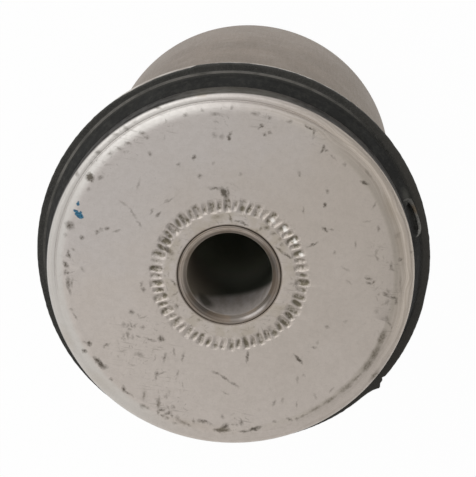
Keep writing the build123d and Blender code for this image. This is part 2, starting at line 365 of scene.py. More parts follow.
def lathe(name, outline, segments=360, shape=None, sharp=40):
    """Ring-shaped mesh from a closed outline of (radius, height) points round Z."""
    outline = np.array(outline)
    angles = np.arange(segments) * 2 * math.pi / segments
    radius = np.repeat(outline[:, 0][None, :], segments, axis=0)
    height = np.repeat(outline[:, 1][None, :], segments, axis=0)
    if shape:
        radius, height = shape(radius, height, angles[:, None])
    x = radius * np.cos(angles)[:, None]
    y = radius * np.sin(angles)[:, None]
    verts = np.stack([x, y, height], axis=-1).reshape(-1, 3)
    rings = len(outline)
    i = np.arange(segments)[:, None]
    j = np.arange(rings)[None, :]
    i2 = (i + 1) % segments
    j2 = (j + 1) % rings
    faces = np.stack([i * rings + j, i * rings + j2, i2 * rings + j2, i2 * rings + j], axis=-1)
    return mesh_object(name, verts.tolist(), faces.reshape(-1, 4).tolist(), sharp)


def mesh_object(name, verts, faces, sharp=40):
    """Smooth-shaded object from lists, with edges sharper than the angle in degrees kept sharp."""
    mesh = bpy.data.meshes.new(name)
    mesh.from_pydata(verts, [], faces)
    mesh.validate()
    mesh.polygons.foreach_set("use_smooth", [True] * len(mesh.polygons))
    mesh.set_sharp_from_angle(angle=math.radians(sharp))
    obj = bpy.data.objects.new(name, mesh)
    bpy.context.scene.collection.objects.link(obj)
    return obj


def ramp(value, start, end):
    """Smooth step of value from 0 at start to 1 at end."""
    t = np.clip((value - start) / (end - start), 0, 1)
    return t * t * (3 - 2 * t)


def wobble(angles, seed, waves, count=14):
    """Seeded sum of sine waves round the axis, about -1 to 1."""
    rng = np.random.default_rng(seed)
    total = np.zeros_like(angles)
    for n in rng.integers(waves[0], waves[1], count):
        total += np.sin(n * angles + rng.uniform(0, 2 * math.pi))
    return total / math.sqrt(count)


def dress(obj, node, material):
    """Give a piece its material and let it stand for a node of the frame."""
    obj.data.materials.append(material)
    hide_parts(node)
    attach(obj, "root")


# -------------------------------- pieces
def make_inner_sleeve():
    """Thick tube with a chamfered rear end, a spigot for the plate and a countersunk bore."""
    outline = rounded([
        (BORE_R, BORE_END_CHAMFER, 0, 0),
        (BORE_R + BORE_END_CHAMFER, 0, 0, 0),
        (SLEEVE_R - SLEEVE_END_CHAMFER, 0, SLEEVE_END_EDGE, 2),
        (SLEEVE_R, SLEEVE_END_CHAMFER, SLEEVE_END_EDGE, 2),
        (SLEEVE_R, SEAT_Z, 0, 0),
        (SPIGOT_R, SEAT_Z, 0, 0),
        (SPIGOT_R, FACE_Z, SPIGOT_EDGE, 4),
        (COUNTERSINK_R, FACE_Z, COUNTERSINK_EDGE, 4),
        (BORE_R, FACE_Z - COUNTERSINK_DEPTH, BORE_EDGE, 4),
    ] + [(BORE_R, FACE_Z - deep, 0, 0) for deep in BORE_RINGS])
    return lathe("inner_sleeve_turned", outline)


def pressed(radius, height, angles):
    """Press the ring of pits and skewed notches into the face, and let the crease fade out below."""
    rng = np.random.default_rng(COIN_SEED)
    x = radius * np.cos(angles)
    y = radius * np.sin(angles)
    depth = np.zeros_like(radius)
    for cut in (PIT, NOTCH):
        for k in range(COIN_COUNT):
            centre = math.radians(cut["first"] + 360 / COIN_COUNT * k)
            along = x * math.cos(centre) + y * math.sin(centre) - COIN_RING_R
            across = y * math.cos(centre) - x * math.sin(centre)
            skew = math.radians(cut["skew"] + rng.normal(0, COIN_VARIES["skew"]))
            u = along * math.cos(skew) + across * math.sin(skew) - rng.normal(0, COIN_VARIES["along"])
            v = across * math.cos(skew) - along * math.sin(skew) - rng.normal(0, COIN_VARIES["across"])
            half_length = cut["length"] / 2 * rng.uniform(*COIN_VARIES["length"])
            half_width = cut["width"] / 2 * rng.uniform(*COIN_VARIES["width"])
            deep = COIN_DEPTH * rng.uniform(*COIN_VARIES["depth"])
            deep = deep * min(1, half_width / (COIN_FULL_WIDTH / 2))
            trough = 1 - np.minimum(np.abs(v) / half_width, 1) ** COIN_WALL_POWER
            ends = 1 - np.minimum(np.abs(u) / half_length, 1) ** COIN_END_POWER
            depth = np.maximum(depth, deep * trough * ends)
    on_face = (height > FACE_Z - SLACK) & (radius < COIN_REACH)
    height = np.where(on_face, height - depth, height)
    in_rim = (radius > SHOULDER_R) & (radius < LIP_R + 0.2 * MM) & (height > CREASE_Z - MM)
    shown = ramp(np.cos(angles - math.radians(CREASE_SIDE)), *CREASE_FADE)
    plain = FACE_Z + (LIP_Z - FACE_Z) * ramp(radius, SHOULDER_R, LIP_R)
    height = np.where(in_rim, plain + (height - plain) * shown, height)
    sway = -CREASE_SWAY[0] * np.sin(angles) + CREASE_SWAY[1]
    return np.where(in_rim, radius + sway, radius), height


def make_end_plate():
    """Dished plate with a skirt, a rolled lip, a crease, a rounded shoulder and a fine mesh on the ring."""
    shoulder = []
    for share in np.linspace(1, 0, SHOULDER_ROWS):
        r = SHOULDER_R + (SHOULDER_END_R - SHOULDER_R) * share
        shoulder.append((r, FACE_Z - SHOULDER_FALL * share ** SHOULDER_POWER, 0, 0))
    flat = [(r, FACE_Z, 0, 0) for r in (*FACE_RINGS, *np.linspace(*COIN_BAND, COIN_ROWS), HUB_RING)]
    outline = rounded([
        (PLATE_HOLE_R, SEAT_Z, 0, 0),
        (DISH_R, SEAT_Z, DISH_CORNER, 4),
        (DISH_R, SKIRT_Z, SKIRT_EDGE, 2),
        (PLATE_R, SKIRT_Z, SKIRT_EDGE, 3),
        (PLATE_R, LIP_Z, LIP_EDGE, 9),
        (LIP_R, LIP_Z, LIP_FOOT_EDGE, 2),
        (CREASE_R, CREASE_Z, CREASE_EDGE, 4),
    ] + shoulder + flat + [(PLATE_HOLE_R, FACE_Z, PLATE_HOLE_EDGE, 4)])
    return lathe("end_plate_pressed", outline, segments=1080, shape=pressed, sharp=60)


def make_outer_sleeve():
    """Thin tube that turns out into a flange, with a tapered mouth."""
    outline = rounded([
        (OUTER_BORE_R, OUTER_REAR_Z, OUTER_END_EDGES[0], 2),
        (OUTER_R, OUTER_REAR_Z, OUTER_END_EDGES[1], 6),
    ] + [(OUTER_R, OUTER_REAR_Z + up, 0, 0) for up in OUTER_RINGS] + [
        (OUTER_R, OUTER_UNDER_Z, FLANGE_ROOT, 8),
        (FLANGE_R, OUTER_UNDER_Z, FLANGE_EDGE, 5),
        (FLANGE_R, FLANGE_Z, FLANGE_EDGE, 5),
        (OUTER_BORE_R + MOUTH, FLANGE_Z, 0, 0),
        (OUTER_BORE_R, FLANGE_Z - MOUTH, 0, 0),
    ])
    return lathe("outer_sleeve_formed", outline)


def trimmed(radius, height, angles):
    """Uneven rim of the collar, and the pocket pressed into the cushion's foot."""
    degrees = np.degrees(angles)
    spots = [spot for spot, _ in COLLAR_TRIM]
    extra = np.interp(degrees, spots, [grow for _, grow in COLLAR_TRIM]) * MM
    extra = extra + wobble(angles, TRIM_SEED, TRIM_WAVES) * TRIM_WOBBLE
    reach = ramp(radius, FOOT_R + 0.6 * MM, COLLAR_R - 0.1 * MM)
    in_collar = (height > FLANGE_Z - SLACK) & (height < COLLAR_Z + SLACK)
    radius = radius + np.where(in_collar, reach * extra, 0)
    limit = (COLLAR_R - SLACK) / np.maximum(np.abs(np.cos(angles)), np.abs(np.sin(angles)))
    radius = np.minimum(radius, limit)
    in_ridge = (radius > FOOT_R - 0.1 * MM) & (height > COLLAR_Z)
    in_ridge = in_ridge & (height < COLLAR_Z + RIDGE_HEIGHT + 0.1 * MM)
    worn = 1 - RIDGE_WEAR * ramp(radius * np.cos(angles), *RIDGE_FADE)
    height = np.where(in_ridge, COLLAR_Z + (height - COLLAR_Z) * worn, height)
    in_flank = (radius > NECK_R - 0.05 * MM) & (radius < FOOT_R + 0.1 * MM)
    in_flank = in_flank & (height > COLLAR_Z + 0.03 * MM) & (height < SKIRT_Z - 0.1 * MM)
    aside = np.abs(degrees - POCKET_ANGLE) - POCKET_SPAN / 2
    dent = POCKET_DEPTH * (1 - ramp(aside, *POCKET_SIDES)) * ramp(height, SKIRT_Z, COLLAR_Z + POCKET_HEIGHT)
    return radius - np.where(in_flank, dent, 0), height


def make_rubber():
    """One moulding: plug inside the plate, cushion, foot ridge, collar, and a hollow in the rear face."""
    side = []
    for k in range(1, CUSHION_ROWS - 1):  # the last row is left out, where the ridge starts
        t = k / CUSHION_ROWS
        swell = CUSHION_SWELL * 4 * t * (1 - t)
        side.append((NECK_R + (FOOT_R - NECK_R) * t + swell, SKIRT_Z + (COLLAR_Z - SKIRT_Z) * t, 0, 0))
    rear_roof = RUBBER_REAR_Z + REAR_HOLLOW
    outline = rounded([
        (SLEEVE_R, RUBBER_REAR_Z, 0, 0),
        (SLEEVE_R, SEAT_Z, 0, 0),
        (PLUG_R, SEAT_Z, DISH_CORNER, 4),
        (PLUG_R, SKIRT_Z, 0, 0),
        (NECK_R, SKIRT_Z, NECK_EDGE, 3),
    ] + side + [
        (FOOT_R, COLLAR_Z + RIDGE_HEIGHT + 0.05 * MM, 0.05 * MM, 2),
        (FOOT_R + 0.32 * MM, COLLAR_Z + RIDGE_HEIGHT, RIDGE_EDGE, 3),
        (FOOT_R + RIDGE_WIDTH, COLLAR_Z, RIDGE_EDGE, 2),
        (FOOT_R + 2 * RIDGE_WIDTH, COLLAR_Z, 0, 0),
        (COLLAR_R, COLLAR_Z, COLLAR_EDGES[0], 5),
        (COLLAR_R, FLANGE_Z, COLLAR_EDGES[1], 3),
        (OUTER_BORE_R + MOUTH, FLANGE_Z, 0, 0),
        (OUTER_BORE_R, FLANGE_Z - MOUTH, 0, 0),
        (OUTER_BORE_R, RUBBER_REAR_Z, 0, 0),
        (OUTER_BORE_R - REAR_LAND, RUBBER_REAR_Z, REAR_EDGES[0], 4),
        (OUTER_BORE_R - REAR_LAND - REAR_DRAFT, rear_roof, REAR_EDGES[1], 5),
        (SLEEVE_R + REAR_LAND + REAR_DRAFT, rear_roof, REAR_EDGES[1], 5),
        (SLEEVE_R + REAR_LAND, RUBBER_REAR_Z, REAR_EDGES[0], 4),
    ])
    return lathe("rubber_moulding", outline, segments=720, shape=trimmed, sharp=50)


def make_pocket_lip():
    """Thin pale lip left by the mould round the pocket, standing on the collar and the cushion's foot."""
    rows = np.array(POCKET_LIP)
    steps = np.linspace(0, len(rows) - 1, POCKET_LIP_STEPS)
    px, py, lift = (np.interp(steps, np.arange(len(rows)), column) for column in rows.T)
    path = [seen_at(x, y, COLLAR_Z + up * MM) * MM for x, y, up in zip(px, py, lift)]
    arc = [math.radians(180 * k / 6) for k in range(7)]
    verts = []
    for i, spot in enumerate(path):
        way = (path[min(i + 2, len(path) - 1)] - path[max(i - 2, 0)]).normalized()
        inward = min(i, len(path) - 1 - i)
        half = POCKET_LIP_SIZE * min(1, POCKET_LIP_TIP + inward / POCKET_LIP_TAPER)
        top = COLLAR_Z + lift[i] * MM - half
        section = [(math.cos(a) * half, top + math.sin(a) * half) for a in arc]
        section = [(half, COLLAR_Z - POCKET_LIP_ROOT)] + section + [(-half, COLLAR_Z - POCKET_LIP_ROOT)]
        verts += [(spot.x - way.y * u, spot.y + way.x * u, z) for u, z in section]
    size = len(arc) + 2
    faces = [
        (i * size + k, i * size + (k + 1) % size, (i + 1) * size + (k + 1) % size, (i + 1) * size + k)
        for i in range(len(path) - 1) for k in range(size)
    ]
    faces += [tuple(range(size))[::-1], tuple(range((len(path) - 1) * size, len(path) * size))]
    return mesh_object("pocket_lip", verts, faces, sharp=60)


# -------------------------------- materials
def colour(*rgb):
    return (*rgb, 1)


STEEL_SPECULAR = 0.15
RUBBER_SPECULAR = 0.25
JOINT_DIRT = colour(0.15, 0.118, 0.09)
JOINT_COVER = 0.68


def feed(tree, socket, value):
    """Link a socket's output to an input, or write a plain value in it."""
    if isinstance(value, bpy.types.NodeSocket):
        tree.links.new(value, socket)
    else:
        socket.default_value = value


def add_node(tree, kind, inputs=None, output=0, **settings):
    """Add one shader node with its settings and inputs, and give back one of its outputs."""
    made = tree.nodes.new("ShaderNode" + kind)
    for key, value in settings.items():
        setattr(made, key, value)
    for key, value in (inputs or {}).items():
        feed(tree, made.inputs[key], value)
    return made.outputs[output]


class Paint:
    """One material's node tree, with a short call for each kind of node that it uses."""

    def __init__(self, name, specular=0.5):
        self.material = bpy.data.materials.new(name)
        self.material.use_nodes = True
        self.tree = self.material.node_tree
        self.shader = self.tree.nodes["Principled BSDF"]
        self.shader.inputs["Specular IOR Level"].default_value = specular
        self.metres = self.node("TexCoord", output="Object")
        self.mm = self.vector("SCALE", self.metres, scale=1 / MM)
        self.x, self.y, self.z = self.parts(self.mm)
        self.flat = self.vector("MULTIPLY", self.mm, (1, 1, 0))
        self.r = self.length(self.flat)
        self.angle = self.math("ARCTAN2", self.y, self.x)

    def node(self, kind, inputs=None, output=0, **settings):
        return add_node(self.tree, kind, inputs, output, **settings)

    def math(self, operation, *values, clamp=False):
        return self.node("Math", dict(enumerate(values)), operation=operation, use_clamp=clamp)

    def vector(self, operation, *values, scale=None):
        inputs = dict(enumerate(values))
        if scale is not None:
            inputs["Scale"] = scale
        return self.node("VectorMath", inputs, operation=operation)

    def length(self, value):
        return self.node("VectorMath", {0: value}, output="Value", operation="LENGTH")

    def parts(self, value):
        return tuple(self.node("SeparateXYZ", {0: value}).node.outputs)

    def join(self, x, y, z=0.0):
        return self.node("CombineXYZ", {0: x, 1: y, 2: z})

    def span(self, value, low, high, start=0.0, end=1.0):
        inputs = {"Value": value, "From Min": low, "From Max": high, "To Min": start, "To Max": end}
        return self.node("MapRange", inputs, interpolation_type="SMOOTHSTEP")

    def band(self, value, low, high, soft):
        rise = self.span(value, low - soft, low + soft)
        fall = self.span(value, high - soft, high + soft, 1.0, 0.0)
        return self.math("MULTIPLY", rise, fall)

    def noise(self, where, scale, detail=2.0, roughness=0.5, output="Fac"):
        inputs = {"Vector": where, "Scale": scale, "Detail": detail, "Roughness": roughness}
        return self.node("TexNoise", inputs, output=output)

    def lines(self, value, scale, detail=3.0):
        inputs = {"W": value, "Scale": scale, "Detail": detail}
        return self.node("TexNoise", inputs, noise_dimensions="1D")

    def mix(self, share, first, second):
        inputs = {0: share, 6: first, 7: second}
        return self.node("Mix", inputs, output=2, data_type="RGBA")

    def turned(self, where, degrees, scale):
        inputs = {"Vector": where, "Rotation": (0, 0, math.radians(degrees)), "Scale": scale}
        return self.node("Mapping", inputs)

    def bump(self, height, distance, normal=None):
        inputs = {"Height": height, "Distance": distance * MM}
        if normal is not None:
            inputs["Normal"] = normal
        return self.node("Bump", inputs)

    def strokes(self, where, marks, height=FACE_Z, spread=0.7):
        """Highest cover, from 0 to about 1, of a list of marks on a level face."""
        cover = None
        for *ends, width, strength in marks:
            x0, y0 = ends[:2]
            x1, y1 = ends[-2:]
            start = seen_at(x0, y0, height)
            end = seen_at(x1, y1, height)
            middle = (start + end) / 2
            thick = (seen_at(x0 + width, y0, height) - start).length * spread
            reach = (end - start).length / 2 + thick
            turn = math.atan2(end.y - start.y, end.x - start.x)
            inputs = {"Vector": where, "Center": (middle.x, middle.y, 0), "Angle": -turn}
            laid = self.node("VectorRotate", inputs, rotation_type="Z_AXIS")
            shrink = (1 / reach, 1 / thick, 0)
            shift = (-middle.x / reach, -middle.y / thick, 0)
            away = self.length(self.vector("MULTIPLY_ADD", laid, shrink, shift))
            mark = self.math("MULTIPLY_ADD", away, -strength, strength)
            cover = mark if cover is None else self.math("MAXIMUM", cover, mark)
        return cover

    def nicks(self, where, scale, half_length, half_width):
        """Short faint strokes at random places and angles, one in each cell of a scatter."""
        place = self.node("TexVoronoi", {"Vector": where, "Scale": scale}, output="Position").node
        offset = self.vector("SUBTRACT", where, place.outputs["Position"])
        pick, strength, _ = self.parts(place.outputs["Color"])
        angle = self.math("MULTIPLY", pick, 2 * math.pi)
        laid = self.node("VectorRotate", {"Vector": offset, "Angle": angle}, rotation_type="Z_AXIS")
        away = self.length(self.vector("MULTIPLY", laid, (1 / half_length, 1 / half_width, 0)))
        return self.math("MULTIPLY", self.span(away, 1.0, 0.0), self.span(strength, 0.2, 1.0, 0.0, 0.42))

    def finish(self, base, roughness, metallic, normal):
        parts = {"Base Color": base, "Roughness": roughness, "Metallic": metallic, "Normal": normal}
        for name, value in parts.items():
            feed(self.tree, self.shader.inputs[name], value)
        return self.material


def plated_steel():
    """Dull zinc-grey plate with blotches, hairlines, specks and the marks of handling, with painted shade
    on the rim and the skirt and painted highlights on the rim and the coined ring.
    """
    p = Paint("plated_steel", STEEL_SPECULAR)
    top = FACE_Z / MM
    blotch = p.noise(p.mm, 0.07, 3, 0.6)
    # paler towards +X and +Y, darker towards -X and -Y
    across = p.math("ADD", p.math("MULTIPLY", p.x, 0.65), p.math("MULTIPLY", p.y, 0.76))
    across = p.math("ADD", across, p.math("MULTIPLY_ADD", blotch, 50, -25))
    base = p.mix(p.span(across, -32.0, 30.0), colour(0.53, 0.478, 0.432), colour(0.625, 0.572, 0.532))
    cool = p.math("ADD", p.math("SUBTRACT", p.x, p.y), p.math("MULTIPLY_ADD", blotch, 50, -25))
    base = p.mix(p.span(cool, 0.0, 40.0, 0.0, 0.6), base, colour(0.572, 0.546, 0.54))
    mottle = p.noise(p.mm, 0.9, 4, 0.65)
    base = p.mix(p.span(mottle, 0.3, 0.7, 0.0, 0.15), base, colour(0.40, 0.37, 0.34))
    grain = p.noise(p.mm, 4.5, 2, 0.6)
    base = p.mix(p.span(grain, 0.35, 0.75, 0.0, 0.15), base, colour(0.36, 0.335, 0.31))

    # turning marks, painted shade on the rim's shoulder, a cream tone on the rim, and a painted highlight
    # on the rim's lit side
    sway = p.math("MULTIPLY_ADD", p.noise(p.mm, 0.12, 2), 2.4, p.r)
    streak = p.span(p.lines(sway, 2.4, 3), 0.42, 0.6)
    turned_side = p.span(p.x, 12.0, -18.0, 0.2, 1.0)
    streak = p.math("MULTIPLY", p.math("MULTIPLY", streak, turned_side), p.span(p.r, 31.4, 33.0))
    streak = p.math("MULTIPLY", streak, p.span(p.y, 20.0, -4.0, 0.3, 1.0))
    # painted shade: an olive-tinted darker band on the rim's shoulder, on the side away from the light (-X)
    shoulder_shade = p.math("MULTIPLY", p.band(p.r, 31.0, 31.9, 0.4), p.span(p.x, 0.0, -22.0))
    base = p.mix(p.math("MULTIPLY", shoulder_shade, 0.1), base, colour(0.36, 0.33, 0.20))
    rim = p.span(p.r, 31.2, 32.4)
    cream = p.math("MULTIPLY", p.span(p.x, 4.0, -20.0), p.span(p.y, 16.0, -2.0, 0.0, 0.36))
    base = p.mix(p.math("MULTIPLY", rim, cream), base, colour(0.78, 0.70, 0.61))
    # painted highlight: paler, whiter colour on the rim's lit side (+X)
    base = p.mix(p.math("MULTIPLY", rim, p.span(p.x, 0.0, 20.0, 0.0, 0.6)), base, colour(0.66, 0.65, 0.625))
    base = p.mix(p.math("MULTIPLY", streak, 0.32), base, colour(0.33, 0.28, 0.22))

    # hairlines and specks, more of them where the plate is worn
    worn = p.band(p.r, 10.0, 15.2, 1.0)
    for (px, py), size in SCRATCHED_PATCHES:
        centre = seen_at(px, py)
        reach = (seen_at(px + size, py) - centre).length
        offset = p.vector("SUBTRACT", p.flat, (centre.x, centre.y, 0))
        worn = p.math("MAXIMUM", worn, p.span(p.length(offset), reach * 1.2, reach * 0.3))
    hair = None
    for degrees, seed in ((18, 0.0), (-52, 7.0), (71, 13.0)):
        offset = p.vector("ADD", p.turned(p.flat, degrees, (0.16, 2.4, 1)), (seed, seed, 0))
        scratch = p.span(p.noise(offset, 1.0, 2, 0.55), 0.62, 0.74)
        hair = scratch if hair is None else p.math("MAXIMUM", hair, scratch)
    hair = p.math("MULTIPLY", hair, p.span(worn, 0, 1, 0.04, 0.3))
    speck = p.noise(p.vector("ADD", p.flat, (31, 17, 0)), 1.1, 3, 0.65)
    floor = p.span(worn, 0, 1, 0.69, 0.63)
    speck = p.math("MULTIPLY", p.math("SUBTRACT", speck, floor), 6.0, clamp=True)
    wear = p.math("MAXIMUM", hair, p.math("MULTIPLY", speck, 0.4))

    # dark marks of handling, with ragged edges
    jitter = p.vector("SUBTRACT", p.noise(p.flat, 1.4, 3, 0.6, "Color"), (0.5, 0.5, 0.5))
    ragged = p.vector("ADD", p.flat, p.vector("MULTIPLY", jitter, (1.0, 1.0, 0)))
    nicks = p.math("MAXIMUM", p.nicks(ragged, 0.42, 0.95, 0.2), p.nicks(ragged, 0.8, 0.5, 0.18))
    nicks = p.math("MULTIPLY", nicks, p.span(worn, 0, 1, 0.18, 1.0))
    wear = p.math("MAXIMUM", wear, nicks)
    crumble = p.span(p.noise(p.flat, 2.4, 3, 0.6), 0.3, 0.68, 0.85, 1.7)
    on_face = p.span(p.z, top - 2.0, top - 1.6)
    scuff = p.math("MULTIPLY", p.strokes(ragged, SCUFFS, spread=1.1), crumble)
    nick = p.math("MULTIPLY", p.strokes(ragged, LIP_NICKS, LIP_Z, 0.85), 0.95)
    dark = p.math("MAXIMUM", wear, p.math("MULTIPLY", p.math("MAXIMUM", scuff, nick), on_face))
    dark = p.math("MULTIPLY", p.math("MINIMUM", dark, 1.0), 0.88)
    base = p.mix(dark, base, colour(0.105, 0.09, 0.07))

    # smears, stains, the ring's dirt, painted highlights on the ring, and the dirty joint at the hub
    smear = p.span(p.strokes(ragged, SMEARS, spread=1.15), 0.0, 0.8)
    smear = p.math("MULTIPLY", smear, p.span(crumble, 0.85, 1.7, 0.5, 0.9))
    base = p.mix(p.math("MULTIPLY", smear, on_face), base, colour(0.20, 0.175, 0.14))
    stain = p.math("MULTIPLY", p.strokes(ragged, STAINS, spread=1.0), 0.5)
    base = p.mix(stain, base, colour(0.42, 0.345, 0.25))
    sunk = p.math("MULTIPLY", p.span(p.z, top - 0.05, top - 0.3), p.span(p.r, 16.0, 15.8))
    dirt = p.span(p.noise(p.mm, 0.5, 4, 0.7), 0.4, 0.58, 0.12, 0.92)
    base = p.mix(p.math("MULTIPLY", sunk, dirt), base, colour(0.145, 0.127, 0.088))
    # painted highlights: bright glints on the coined ring
    painted_glint = p.span(p.strokes(ragged, PAINTED_GLINTS, spread=1.0), 0.1, 0.8, 0.0, 0.7)
    base = p.mix(painted_glint, base, colour(0.80, 0.785, 0.76))
    tint = p.span(p.noise(p.mm, 0.3, 4, 0.65), 0.38, 0.62, 0.0, 0.45)
    land = p.math("MULTIPLY", p.span(p.r, 12.7, 12.1), tint)
    base = p.mix(land, base, colour(0.44, 0.39, 0.31))
    joint = p.span(p.r, 10.2, 9.95)
    base = p.mix(p.math("MULTIPLY", joint, JOINT_COVER), base, JOINT_DIRT)

    # painted shade with some soot on the skirt, standing in for its shadow and its reflection of the dark
    # rubber; it starts at different heights round the plate
    lit_side = p.math("SUBTRACT", p.math("MULTIPLY", p.x, 0.64), p.math("MULTIPLY", p.y, 0.77))
    late = p.math("ADD", p.z, p.span(lit_side, 36.0, 22.0, 0.0, 0.32))
    late = p.math("ADD", late, p.span(lit_side, 6.0, -14.0, 0.0, 0.22))
    late = p.math("SUBTRACT", late, p.span(p.y, 8.0, 26.0, 0.0, 0.22))
    under = p.span(late, top - 1.05, top - 1.45)
    skirt_shade_and_grime = p.math("MULTIPLY", under, p.span(p.noise(p.mm, 0.5, 3), 0.3, 0.7, 0.92, 1.0))
    paler = p.math("MAXIMUM", p.band(p.x, -6.0, 14.0, 5.0), p.span(p.y, -6.0, 6.0))
    shade_and_soot = p.mix(paler, colour(0.014, 0.012, 0.01), colour(0.055, 0.05, 0.041))
    base = p.mix(skirt_shade_and_grime, base, shade_and_soot)

    blue = p.span(p.strokes(ragged, BLUE_PAINT, spread=1.0), 0.25, 0.6)
    blue = p.math("MULTIPLY", blue, on_face)
    ink = p.mix(p.span(grain, 0.35, 0.65), colour(0.02, 0.06, 0.11), colour(0.05, 0.19, 0.30))
    base = p.mix(blue, base, ink)
    metal = p.math("SUBTRACT", 1.0, p.math("MAXIMUM", p.math("MULTIPLY", blue, 0.9), skirt_shade_and_grime))

    rough = p.math("ADD", p.span(mottle, 0.25, 0.75, 0.51, 0.59), p.math("MULTIPLY", dark, 0.12))
    tilt = p.bump(grain, 0.012)
    tilt = p.bump(mottle, 0.03, tilt)
    hammered = p.math("SUBTRACT", p.noise(p.mm, 1.5, 3, 0.6), 0.5)
    tilt = p.bump(p.math("MULTIPLY", hammered, p.band(p.r, 12.3, 15.5, 0.5)), 0.1, tilt)
    return p.finish(base, rough, metal, tilt)


def turned_steel():
    """Machined tube: bright face, turned countersink with a painted highlight, and a dark oxidised bore
    with painted light at its mouth and deep down.
    """
    p = Paint("turned_steel", STEEL_SPECULAR)
    top = FACE_Z / MM
    blotch = p.noise(p.mm, 0.35, 3, 0.6)
    bright = p.mix(p.span(blotch, 0.35, 0.65), colour(0.46, 0.42, 0.39), colour(0.38, 0.33, 0.285))
    ring = p.lines(p.math("ADD", p.r, p.z), 2.2, 3)
    drawn = p.noise(p.join(p.math("MULTIPLY", p.angle, 6.0), p.z), 0.6, 4, 0.6)
    outside = p.mix(p.span(drawn, 0.3, 0.7), colour(0.40, 0.37, 0.34), colour(0.27, 0.25, 0.23))
    base = p.mix(p.span(p.z, top - 6.0, top - 3.0), outside, bright)

    aside = p.math("SUBTRACT", p.angle, math.radians(HIGHLIGHT_SIDE))
    faces_highlight = p.span(p.math("ABSOLUTE", aside), 0.42, 0.12)
    mouth = p.band(p.r, 8.0, 9.35, 0.12)
    near = p.mix(p.span(ring, 0.4, 0.6), colour(0.12, 0.105, 0.09), colour(0.24, 0.215, 0.195))
    far = p.mix(p.span(ring, 0.4, 0.6), colour(0.41, 0.355, 0.305), colour(0.64, 0.565, 0.5))
    sink = p.mix(p.span(p.math("SUBTRACT", p.x, p.y), -5.0, 9.0), near, far)
    sink = p.mix(p.span(p.r, 8.85, 8.6, 0.0, 0.45), sink, colour(0.12, 0.105, 0.09))
    rust = p.span(p.noise(p.mm, 0.28, 2), 0.45, 0.62)
    sink = p.mix(p.math("MULTIPLY", rust, 0.3), sink, colour(0.24, 0.17, 0.11))
    # painted highlight on the countersink, on the side that faces the light
    painted_glint = p.math("MULTIPLY", faces_highlight, p.band(p.r, 8.75, 9.3, 0.08))
    sink = p.mix(p.math("MULTIPLY", painted_glint, p.span(ring, 0.4, 0.6)), sink, colour(0.5, 0.47, 0.45))
    base = p.mix(mouth, base, sink)

    bore = p.math("MULTIPLY", p.span(p.r, 8.35, 8.2), p.span(p.z, top - 0.7, top - 1.1))
    scale = p.noise(p.vector("MULTIPLY", p.mm, (1, 1, 0.35)), 0.5, 4, 0.65)
    inside = p.mix(p.span(scale, 0.35, 0.65), colour(0.315, 0.288, 0.27), colour(0.25, 0.224, 0.205))
    oxide_and_painted_light = p.mix(p.span(p.x, -1.0, 7.8), colour(0.038, 0.041, 0.03), colour(0.19, 0.162, 0.128))
    # paler deeper down: painted light that keeps the deep bore from going black
    oxide_and_painted_light = p.mix(p.span(p.z, top - 14.0, top - 34.0), oxide_and_painted_light, colour(0.42, 0.43, 0.35))
    # painted pool of light on the bore wall near the mouth; oxide beyond it
    aside = p.math("SUBTRACT", p.angle, math.radians(LIT_PATCH_SIDE))
    limit = p.math("MULTIPLY_ADD", p.math("MULTIPLY", aside, aside), -LIT_PATCH_NARROWING, LIT_PATCH_DEPTH)
    lit_patch = p.math("ADD", p.math("SUBTRACT", p.z, top), limit)
    inside = p.mix(p.span(lit_patch, -2.2, 2.2), oxide_and_painted_light, inside)
    spot = p.vector("SUBTRACT", p.mm, RUST_SPOT)
    spot = p.math("ADD", p.length(p.vector("MULTIPLY", spot, (0.5, 0.5, 0.32))), scale)
    inside = p.mix(p.span(spot, 1.8, 0.8, 0.0, 0.85), inside, colour(0.04, 0.036, 0.024))
    base = p.mix(bore, base, inside)
    joint = p.math("MULTIPLY", p.span(p.r, 9.3, 9.52), p.span(p.z, top - 3.2, top - 2.8))
    base = p.mix(p.math("MULTIPLY", joint, JOINT_COVER), base, JOINT_DIRT)

    rough = p.span(ring, 0.3, 0.7, 0.46, 0.6)
    rough = p.math("ADD", rough, p.math("MULTIPLY", bore, 0.3))
    metal = p.math("SUBTRACT", 1.0, bore)
    tilt = p.bump(ring, 0.05)
    tilt = p.bump(p.noise(p.mm, 5.0, 2), 0.01, tilt)
    return p.finish(base, rough, metal, tilt)


